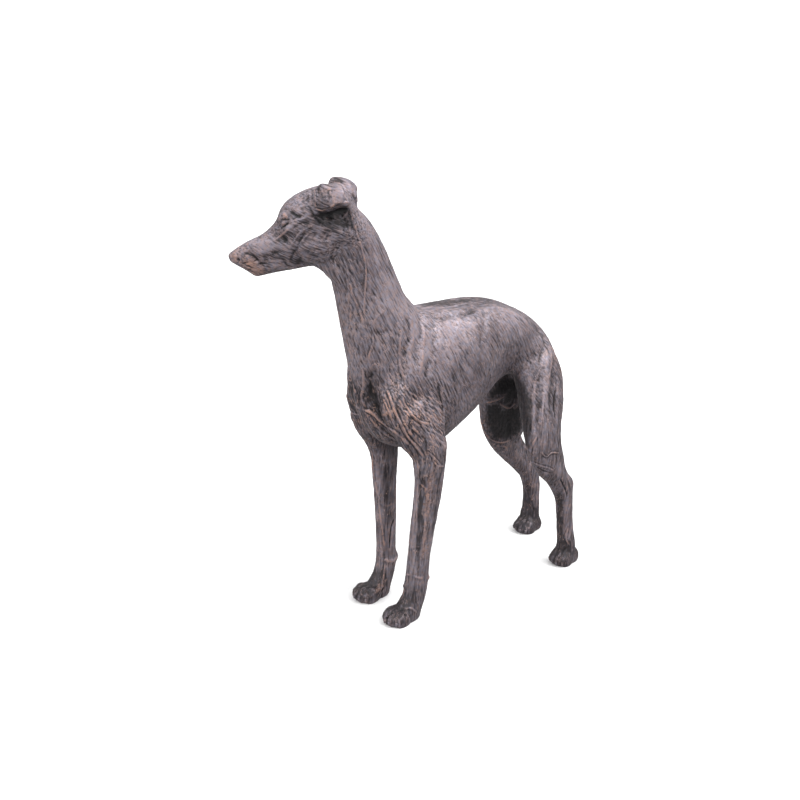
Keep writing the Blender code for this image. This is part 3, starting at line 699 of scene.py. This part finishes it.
def forelegs():
    """Tendons, the slot behind the right wrist, rings of the mould and the knobbed wrists."""
    draw([(372.3, 452), (373.6, 475), (377.3, 492), (380, 514), (383, 534), (385, 556)], 1.0, 0.5,
         copper=0.75, flank=0.3, taper=0.2)
    once([(394, 519), (391.3, 529), (389.6, 549)], 0.7, -1.4, dirt=1.0)
    once([(396, 478), (394.7, 498)], 0.8, 0.3, copper=0.7)
    once([(380, 503), (387, 506), (394, 503)], 1.6, 0.2, copper=0.5)
    once([(384.5, 559), (391, 562), (397, 557.5)], 1.5, 1.1, copper=0.7, tone=0.3, taper=0.2)
    once([(385, 564), (383, 580), (381, 589), (377, 598)], 0.8, 0.5, copper=0.8, flank=0.4)
    once([(417, 456), (418.3, 477), (416.5, 500), (416.5, 521)], 0.9, 0.4, copper=0.6, flank=0.5, taper=0.2)
    once([(421, 470), (420, 500), (418.5, 530)], 1.3, -0.5, dirt=0.3)
    once([(438, 464), (430, 482), (427, 512), (423, 560)], 3.4, 0.0, copper=0.45, taper=0.2)
    # Painted light and shade on the faces of the forelegs.
    for places, width, tone in (
        ([(421.5, 470), (421, 500), (419, 530), (417, 560)], 2.6, -0.7),
        ([(416, 462), (415.5, 490), (414, 520), (411, 550)], 2.2, 0.5),
        ([(441, 470), (437, 500), (434, 530), (430, 560)], 2.6, -0.5),
        ([(386, 466), (388, 495), (390, 525)], 4.4, -0.5),
        ([(376, 466), (379, 500), (382, 530)], 2.4, 0.4),
        ([(388, 566), (384, 582), (380, 596)], 3.0, 0.3),
        ([(410, 582), (409, 594), (406, 604)], 4.0, -0.3),
    ):
        once(places, width, 0.4 * tone, tone=tone, taper=0.3)
    for _ in range(110):
        t = rng.random()
        x = np.interp(t, [0, 0.2, 0.6, 1], [438, 430, 427, 424]) + rng.normal(0, 2.2)
        y = np.interp(t, [0, 0.2, 0.6, 1], [465, 482, 512, 560])
        dab((x, y), rng.uniform(0.5, 0.9), rng.choice([-0.15, 0.15]), copper=rng.uniform(0.2, 0.9))
    draw([(432, 457), (438, 466), (444.5, 466)], 0.9, 0.6, copper=0.9, tone=0.3)
    draw([(405, 574), (410, 575)], 1.0, 0.6, copper=0.7, tone=0.2)
    draw([(415, 576.5), (419, 578), (423, 578.5)], 0.9, 0.5, copper=0.7, tone=0.2)
    draw([(411, 575.5), (426, 578)], 0.7, 0.2, copper=0.2)
    touch((428, 577.5), 1.8, 1.2, copper=0.6, tone=0.2)
    dab((405, 585.5), 2.0, 1.6, dirt=0.6)
    once([(406, 546), (413, 547), (421, 547)], 0.6, 0.25, copper=0.3)
    once([(406, 580), (403, 589)], 0.9, -0.9, dirt=1.0)
    once([(405, 587), (402, 598), (395, 604)], 0.9, 0.6, copper=0.9, tone=0.2)


# Paws: middle of the toes, length and width, in the sculptor's frame.
PAWS = [(19.8, -81, 27, 18), (-20.0, -74, 27, 18), (29.4, 67.6, 23, 16), (-27.6, 88.5, 23, 16)]


def on_paw(paw, sideways, forward, up):
    """A spot by its shares of the paw's width and length, and its height."""
    x, y, length, width = paw
    return from_sculpt((x + sideways * width, y - forward * length, up))


def paws():
    """Clefts between the toes, knuckles and claws on all four feet."""
    for paw in PAWS:
        # Painted shade over each paw.
        cast.spot(on_paw(paw, 0, 0.25, 12.0), 11.0, tone=-0.9, dirt=0.36)
        cast.spot(on_paw(paw, 0, -0.2, 10.0), 9.0, tone=-0.5)
        for side in (-0.25, 0.0, 0.25):
            path = ((0.9, 0.10, 15.0), (1.0, 0.34, 10.5), (1.05, 0.54, 5.0), (1.05, 0.56, 0.8))
            cleft = [on_paw(paw, spread * side, reach, up) for spread, reach, up in path]
            cast.mark(curve(cleft, 1.2), 0.8, -0.45, dirt=0.25, taper=0.5)
        for side, reach in ((-0.38, 0.40), (-0.13, 0.52), (0.13, 0.52), (0.38, 0.40)):
            cast.spot(on_paw(paw, side, reach - 0.17, 10.0), 2.4, 0.5, copper=0.25, tone=0.1)
            cast.spot(on_paw(paw, side, reach, 5.5), 1.7, 0.5, tone=0.15)
            claw = [on_paw(paw, side, reach + 0.02, 4.4), on_paw(paw, side, reach + 0.05, 1.2)]
            cast.mark(curve(claw, 1.0), 0.9, 0.9, tone=0.4, copper=0.2, taper=0.2)
    # Painted shade in the gaps between the toes.
    dab((391, 613), 1.1, -1.5, dirt=1.0)
    dab((405.9, 614.8), 1.2, -1.5, dirt=1.0)
    dab((386.6, 618.5), 1.0, -1.2, dirt=1.0)
    once([(399.7, 605), (404.6, 609), (411, 608), (417, 613)], 1.0, 0.7, tone=0.3, copper=0.3)
    once([(383.5, 587), (382, 595), (380.2, 602)], 1.0, -1.6, dirt=1.0)
    for k in range(90):
        bump = on_paw(PAWS[k % 4], rng.uniform(-0.5, 0.5), rng.uniform(-0.1, 0.6), rng.uniform(3, 14))
        cast.spot(bump, rng.uniform(0.9, 2.0), rng.choice([-0.5, 0.35]),
                  copper=0.4 * rng.random(), tone=rng.uniform(-0.5, 0.3))
    for k in range(7):
        x = 372 + 1.4 * k
        once([(x, 597 - k), (x + 4, 590 - k), (x + 6, 584 - k)], 0.5, 0.4, copper=0.9)


def coat_way(points):
    """Which way the combed coat runs at each point, before it is laid on the skin."""
    y, z = back_and_up(points)
    lean = np.interp(y, [-110, -85, -60, -40, 20, 55, 80], [0.1, 0.2, 0.75, 0.55, 0.55, 0.6, 0.2])
    lean = lean * ease(z, 105, 145)
    lean = lean + (0.48 - lean) * ease(z, 185, 215) * ease(-y, 55, 75)
    way = np.stack([np.zeros(len(y)), lean, -np.ones(len(y))], axis=1)
    return unit(way + head_share(points)[:, None] * (HEAD_COAT * 1.6 - way))


def coat_strength(points):
    y, z = back_and_up(points)
    h = to_head(points)
    strength = np.full(len(y), 0.75)
    strength += 0.45 * ease(-y, 45, 60) * ease(z, 95, 110) * (1 - ease(z, 160, 190))
    strength += 0.35 * ease(y, 40, 60) * ease(z, 80, 100)
    strength -= 0.25 * (1 - ease(z, 60, 95))
    strength -= 0.30 * ease(h[:, 0], 15, 35) * ease(z, 232, 244)
    return strength


def comb(count, seed, reach, width, height, tone):
    """Short strokes all over the skin, laid along the coat."""
    draws = np.random.default_rng(seed)
    picked = draws.integers(0, cast.count, count)
    start = cast.points[picked]
    outward = cast.outward[picked]
    strength = coat_strength(start)
    swerve = draws.normal(0, 0.16, (count, 3))
    steps = 7
    for i in range(count):
        spot, normal = start[i], outward[i]
        if spot[2] < 1.0:
            continue
        line = [spot]
        stride = draws.uniform(0.6, 1.4) * reach / (steps - 1)
        for _ in range(steps - 1):
            way = coat_way(spot[None])[0] + swerve[i]
            way = way - (way @ normal) * normal
            spot = spot + unit(way) * stride
            place, normal, _, _ = cast.tree.find_nearest(Vector(spot))
            spot, normal = np.array(place), np.array(normal)
            line.append(spot)
        line = np.array(line)
        sign = 1.0 if draws.random() < 0.5 else -1.0
        size = draws.uniform(0.4, 1.0) * strength[i]
        near = cast.near(line[::2], width * 2.2 + 0.5)
        if not len(near):
            continue
        p = cast.points[near]
        t, apart = beside(p, line)
        gap = (apart**2).sum(axis=2)
        k = gap.argmin(axis=1)
        row = np.arange(len(near))
        place = (k + t[row, k]) / (steps - 1)
        shape = np.exp(-gap[row, k] / width**2) * np.sin(math.pi * np.clip(place, 0.03, 0.97))
        cast.lift[near] += sign * size * height * shape
        # Raised strokes are painted lighter and sunk strokes darker, as light and shade on them.
        cast.tone[near] += sign * size * tone * shape


def unevenness_and_painted_light():
    """Uneven hand-worked surface under the strokes, with painted light and shade by part of the body."""
    broad = lumps(cast.points, 7.0, 11) - 0.5
    small = lumps(cast.points, 2.2, 12) - 0.5
    fine = lumps(cast.points, 1.1, 13) - 0.5
    cast.lift += 0.25 * broad + 0.16 * small + 0.10 * fine
    cast.tone += 0.3 * broad + 0.2 * small
    # Painted light on the neck and flank; painted shade on the chest, the legs, more on the hind legs, the
    # thighs and the paws.
    y, z = back_and_up(cast.points)
    cast.tone += 0.38 * ease(-y, 35, 55) * band(z, 160, 178, 225, 240)
    cast.tone += 0.12 * band(y, -45, -30, 25, 40) * band(z, 115, 130, 165, 180)
    cast.tone -= 0.28 * ease(-y, 40, 55) * band(z, 100, 115, 155, 170)
    cast.tone -= (0.08 + 0.14 * ease(y, 20, 40)) * (1 - ease(z, 75, 105))
    cast.tone -= 0.26 * ease(y, 30, 45) * band(z, 80, 95, 145, 160)
    cast.tone -= 0.35 * (1 - ease(z, 14, 26))


face()
ears()
neck()
chest()
back()
hindquarters()
forelegs()
paws()
unevenness_and_painted_light()
cast.press()
comb(COAT_STROKES, seed=21, reach=9.0, width=0.50, height=0.17, tone=0.28)
cast.press()


def openness():
    """How much of the surroundings each corner of the solid sees, from 0 to 1, and where the corners are."""
    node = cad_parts["greyhound"]
    spots = read(node.data.vertices, "co", len(node.data.vertices)) / MM
    ways = read(node.data.vertices, "normal", len(node.data.vertices))
    draws = np.random.default_rng(5)
    seen_share = np.zeros(len(spots))
    for i, (spot, way) in enumerate(zip(spots, ways)):
        fan = unit(unit(draws.normal(size=(RAYS, 3))) + way * 1.02)
        start = Vector(spot + way * RAY_START)
        clear = sum(cast.tree.ray_cast(start, Vector(ray), RAY_REACH)[0] is None for ray in fan)
        seen_share[i] = clear / RAYS
    return spots, seen_share


def rubbed_places(points):
    """Where the copper shows most, by part of the body."""
    y, z = back_and_up(points)
    h = to_head(points)
    much = 0.12 + 0.45 * ease(-y, 48, 62) * band(z, 95, 112, 150, 170)
    much += 0.35 * ease(-y, 70, 84) * band(z, 120, 140, 205, 230)
    much += 0.55 * ease(y, 44, 60) * ease(z, 95, 120)
    much += 0.25 * (1 - ease(z, 70, 110)) * ease(z, 12, 24)
    much += 0.5 * ease(h[:, 0], 40, 55) * ease(z, 225, 235)
    return much


def tree_of(points):
    tree = KDTree(len(points))
    for i, p in enumerate(points):
        tree.insert(p, i)
    tree.balance()
    return tree


def finish_cast():
    """Thins the skin to its budget and writes the metal, the painted shade and the tone with its painted
    light and shade on its points.
    """
    mesh = cast.object.data
    mesh.update()
    outward = read(mesh.vertices, "normal", cast.count)
    fine = ((cast.points - cast.average(cast.points, FINE_PASSES)) * outward).sum(axis=1)
    middle = ((cast.points - cast.average(cast.points, MIDDLE_PASSES)) * outward).sum(axis=1)
    patchy = lumps(cast.points, 3.0, 31) * 0.6 + lumps(cast.points, 9.0, 32) * 0.8
    ridge = ease(fine, 0.015, 0.09) * rubbed_places(cast.points) * ease(patchy, 0.5, 0.95)
    copper = np.clip(np.maximum(cast.copper * (0.55 + 0.6 * patchy), ridge), 0, 1)
    # Painted shade in the broad and fine hollows of the relief.
    hollow = ease(-middle, 0.15, 0.9) * 0.6 + ease(-fine, 0.02, 0.12) * 0.45
    dirt = np.clip(cast.dirt + hollow, 0, 1)
    copper = copper * (1 - 0.8 * ease(cast.dirt, 0.3, 0.9))
    copper = copper * (0.55 + 0.45 * ease(to_sculpt(cast.points)[:, 2], 10, 26))
    # Fine ridges painted lighter and fine hollows darker, as light and shade.
    tone = 0.5 + 0.5 * np.clip(cast.tone, -1, 1) + 1.8 * np.clip(fine, -0.15, 0.15)
    # Painted shade where little of the surroundings is open to a corner.
    corners, share = openness()
    corner_tree, tree = tree_of(corners), tree_of(cast.points)
    mesh.calc_loop_triangles()
    thin = cast.object.modifiers.new("thin", "DECIMATE")
    thin.ratio = TRIANGLES / len(mesh.loop_triangles)
    bake_modifiers(cast.object)
    mesh = cast.object.data
    points = read(mesh.vertices, "co", len(mesh.vertices)) / MM
    source = np.array([tree.find(p)[1] for p in points])
    shade = np.zeros(len(points))
    for i, p in enumerate(points):
        found = corner_tree.find_n(p, 5)
        weights = [1.0 / (gap + 0.5) for _, _, gap in found]
        shade[i] = sum(w * share[k] for w, (_, k, _) in zip(weights, found)) / sum(weights)
    y, z = back_and_up(points)
    outward = read(mesh.vertices, "normal", len(mesh.vertices))
    on_head = head_share(points)
    on_leg = (1 - ease(z, 100, 135)) * (1 - on_head)
    on_top = ease(outward[:, 2], 0.70, 0.92) * (1 - on_head) * ease(z, 130, 150)
    layers = {
        "copper": copper[source], "dirt": dirt[source], "tone": tone[source], "shade": shade,
        "on_head": on_head, "on_leg": on_leg, "on_top": on_top, "rubbed": rubbed_places(points),
        "scratched": ease(-y, 35, 55) * ease(z, 120, 150),
    }
    for name, values in layers.items():
        layer = mesh.attributes.new(name, "FLOAT", "POINT")
        layer.data.foreach_set("value", np.clip(values, 0, 1).astype(np.float32))
    for polygon in mesh.polygons:
        polygon.use_smooth = True


finish_cast()


# Finish, as linear colours. Between dark and light graphite lies tone with painted light and shade, and the
# near-black is painted shade.
DARK_GRAPHITE = (0.040, 0.033, 0.037, 1)
LIGHT_GRAPHITE = (0.310, 0.266, 0.292, 1)
COPPER = (0.415, 0.245, 0.195, 1)
BRIGHT_COPPER = (0.56, 0.35, 0.28, 1)
SHADE_COLOUR = (0.007, 0.006, 0.007, 1)
COAT_LEAN = unit((0, 0.55, -1))
SCRATCH_LEAN = unit((0, 0.8, -1))
# In metres.
HAIR_SIZE = 0.0012
SCRATCH_SIZE = 0.0022
BUMP_DEPTH = 0.0004


def feed(node, values):
    """Links or sets a node's inputs, by name or number."""
    for key, value in values.items():
        if isinstance(value, bpy.types.NodeSocket):
            node.id_data.links.new(value, node.inputs[key])
        else:
            node.inputs[key].default_value = value


def bronze():
    """Graphite bronze: painted shade in the hollows and hidden places, copper where it is rubbed, satin all
    over.
    """
    material = bpy.data.materials.new("bronze_finish")
    material.use_nodes = True
    nodes = material.node_tree.nodes
    shader = nodes["Principled BSDF"]

    def attribute(name):
        node = nodes.new("ShaderNodeAttribute")
        node.attribute_name = name
        return node.outputs["Fac"]

    def mix(share, a, b, kind="MIX"):
        node = nodes.new("ShaderNodeMix")
        node.data_type = "RGBA"
        node.blend_type = kind
        feed(node, {0: share, 6: a, 7: b})
        return node.outputs[2]

    def remap(value, low, high, new_low=0.0, new_high=1.0):
        node = nodes.new("ShaderNodeMapRange")
        feed(node, {"Value": value, "From Min": low, "From Max": high, "To Min": new_low, "To Max": new_high})
        return node.outputs["Result"]

    place = nodes.new("ShaderNodeTexCoord").outputs["Object"]

    def noise(scale, detail=3.0):
        node = nodes.new("ShaderNodeTexNoise")
        feed(node, {"Scale": scale, "Detail": detail, "Vector": place})
        return node.outputs["Fac"]

    def streaks(way, size, seed, stretch):
        """Combed noise: long along the way, size across in metres."""
        turn = nodes.new("ShaderNodeMapping")
        turn.vector_type = "TEXTURE"
        lean = Vector((0, 0, 1)).rotation_difference(Vector(way)).to_euler()
        feed(turn, {"Rotation": lean, "Scale": (1, 1, stretch), "Location": (seed, 0, 0), "Vector": place})
        node = nodes.new("ShaderNodeTexNoise")
        feed(node, {"Scale": 1 / size, "Detail": 2.5, "Distortion": 0.25, "Vector": turn.outputs["Vector"]})
        return node.outputs["Fac"]

    def blend(share, a, b):
        node = nodes.new("ShaderNodeMix")
        node.data_type = "FLOAT"
        feed(node, {0: share, 2: a, 3: b})
        return node.outputs[0]

    def calc(a, b, kind="MULTIPLY"):
        """The product of two values, or what the kind says."""
        node = nodes.new("ShaderNodeMath")
        node.operation = kind
        feed(node, {0: a, 1: b})
        return node.outputs[0]

    def combed(way, size, seed, stretch):
        """Combed noise that follows the trunk, the legs, the back and the head."""
        field = streaks(way, size, seed, stretch)
        field = blend(attribute("on_leg"), field, streaks((0, 0.1, 1), size, seed + 1, stretch))
        field = blend(attribute("on_top"), field, streaks((0, 1, 0), size, seed + 2, stretch))
        return blend(attribute("on_head"), field, streaks(HEAD_COAT, 0.85 * size, seed + 3, stretch))

    hair = combed(COAT_LEAN, HAIR_SIZE, 0.0, 11)
    thread = combed(SCRATCH_LEAN, SCRATCH_SIZE, 5.0, 6)
    thread = remap(calc(calc(thread, 0.5, "SUBTRACT"), 0.0, "ABSOLUTE"), 0.006, 0.028, 1.0, 0.0)
    thread = calc(thread, remap(noise(150, 2.0), 0.46, 0.60))
    copper, dirt, tone, shade = attribute("copper"), attribute("dirt"), attribute("tone"), attribute("shade")
    tone = calc(tone, remap(hair, 0.32, 0.68, -0.26, 0.26), "ADD")
    tone = calc(tone, calc(thread, 0.30), "ADD")
    scratched = attribute("scratched")
    sharper = calc(scratched, remap(hair, 0.32, 0.68, -0.16, 0.16))
    tone = calc(tone, calc(sharper, calc(scratched, calc(thread, 0.16)), "ADD"), "ADD")
    # The tone, with its painted light and shade, sets the graphite between dark and light.
    graphite = mix(remap(tone, 0.10, 0.95), DARK_GRAPHITE, LIGHT_GRAPHITE)
    blotch = mix(remap(noise(60), 0.35, 0.65), (0.84, 0.80, 0.82, 1), (1.10, 1.08, 1.10, 1))
    graphite = mix(1.0, graphite, blotch, "MULTIPLY")
    tint = mix(remap(noise(420, 2.0), 0.38, 0.62), (0.93, 1.0, 1.07, 1), (1.09, 1.0, 0.92, 1))
    graphite = mix(1.0, graphite, tint, "MULTIPLY")
    grain = calc(copper, remap(calc(noise(900), hair, "ADD"), 0.75, 1.15, 0.15, 1.25))
    rubbed = mix(remap(grain, 0.10, 0.95), graphite, COPPER)
    rubbed = mix(calc(thread, attribute("rubbed")), rubbed, BRIGHT_COPPER)
    # Painted shade where the surroundings are hidden, then in the hollows and shaded places.
    shaded = mix(remap(shade, 0.15, 0.80, 0.82, 0.0), rubbed, SHADE_COLOUR)
    colour = mix(remap(dirt, 0.12, 1.0, 0.0, 0.96), shaded, SHADE_COLOUR)
    satin = remap(noise(240), 0.3, 0.7, 0.42, 0.58)
    relief = calc(calc(hair, calc(noise(1300), 0.35), "ADD"), calc(thread, 0.5), "ADD")
    bump = nodes.new("ShaderNodeBump")
    feed(bump, {"Strength": 0.7, "Distance": BUMP_DEPTH, "Height": relief})
    normal = bump.outputs["Normal"]
    feed(shader, {"Base Color": colour, "Metallic": 0.35, "Roughness": satin, "Normal": normal})
    return material


cast.object.data.materials.clear()
cast.object.data.materials.append(bronze())
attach(cast.object, "root")
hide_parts("greyhound")


# The surround is bright overhead and dim low down. Of a lamp: name, where it shines from, strength, angle.
FLOOR_SIDE = 40.0
PAPER = (0.93, 0.93, 0.93, 1)
SKY_LOW = 0.40
SKY_HIGH = 1.20
LAMPS = (("key", (0.66, 0.45, 1.0), 2.7, 50), ("fill", (0.10, -1.0, 0.45), 1.45, 80))


def studio():
    """Pale floor, an even white surround and soft lamps above and behind."""
    bpy.ops.mesh.primitive_plane_add(size=FLOOR_SIDE)
    floor = bpy.context.object
    floor.name = "floor"
    paper = bpy.data.materials.new("paper")
    paper.use_nodes = True
    feed(paper.node_tree.nodes["Principled BSDF"], {"Base Color": PAPER, "Roughness": 0.9})
    floor.data.materials.append(paper)
    floor.visible_diffuse = False
    floor.visible_glossy = False
    floor.visible_shadow = False
    world = bpy.data.worlds.new("surround")
    bpy.context.scene.world = world
    world.use_nodes = True
    nodes = world.node_tree.nodes
    split = nodes.new("ShaderNodeSeparateXYZ")
    feed(split, {0: nodes.new("ShaderNodeTexCoord").outputs["Generated"]})
    rise = nodes.new("ShaderNodeMapRange")
    feed(rise, {"Value": split.outputs["Z"], "From Min": -0.1, "From Max": 0.9,
                "To Min": SKY_LOW, "To Max": SKY_HIGH})
    feed(nodes["Background"], {"Color": (1, 1, 1, 1), "Strength": rise.outputs["Result"]})
    for name, way, strength, angle in LAMPS:
        lamp = bpy.data.objects.new(name, bpy.data.lights.new(name, "SUN"))
        lamp.data.energy = strength
        lamp.data.angle = math.radians(angle)
        lamp.location = unit(way)
        lamp.rotation_mode = "QUATERNION"
        lamp.rotation_quaternion = (-Vector(way)).to_track_quat("-Z", "Y")
        bpy.context.scene.collection.objects.link(lamp)


def camera():
    eye = bpy.data.objects.new("camera", bpy.data.cameras.new("camera"))
    eye.data.sensor_width = SENSOR_WIDTH
    eye.data.lens = SENSOR_WIDTH * FOCAL_POINTS / PHOTO_SIDE
    eye.data.clip_start = 0.05
    eye.location = Vector(CAMERA_SPOT * MM)
    eye.rotation_mode = "QUATERNION"
    eye.rotation_quaternion = Vector(LOOK).to_track_quat("-Z", "Y")
    bpy.context.scene.collection.objects.link(eye)
    bpy.context.scene.camera = eye


studio()
camera()
bpy.context.scene.view_settings.view_transform = "Standard"
